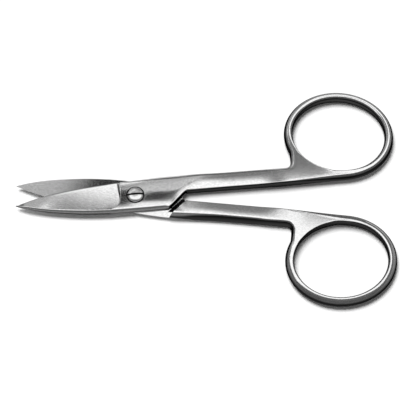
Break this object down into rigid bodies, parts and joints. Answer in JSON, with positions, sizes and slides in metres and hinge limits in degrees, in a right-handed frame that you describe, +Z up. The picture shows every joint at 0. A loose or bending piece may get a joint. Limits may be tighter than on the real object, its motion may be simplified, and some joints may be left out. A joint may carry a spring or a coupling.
{
  "type": "nail scissors",
  "caption": "Small steel nail scissors: pointed ground blades, oval finger rings and a domed slotted pivot screw that both halves turn on.",
  "frame": {"origin": "bottom centre of the bounding box: the level that the rear half and the rings rest on, midway along the length and on the line between the halves", "axes": "+X from the blade tips towards the finger rings; +Y towards the front half's ring; +Z up, out of the joint on the screw head's side, along the pivot"},
  "size_m": [0.089, 0.055, 0.0033],
  "materials": {
    "satin_steel": "satin ground and fine brushed, with bright worn edges",
    "polished_steel": "mirror polished"
  },
  "bodies": {
    "rear": {"rear_half": "satin_steel", "pivot_screw": "polished_steel"},
    "front": {"front_half": "satin_steel"}
  },
  "joints": [
    {"name": "pivot", "type": "hinge", "parent": "rear", "child": "front", "pos_m": [-0.01649, 0, 0.0014], "axis": [0, 0, 1], "range_deg": [-10.3, 112]}
  ]
}
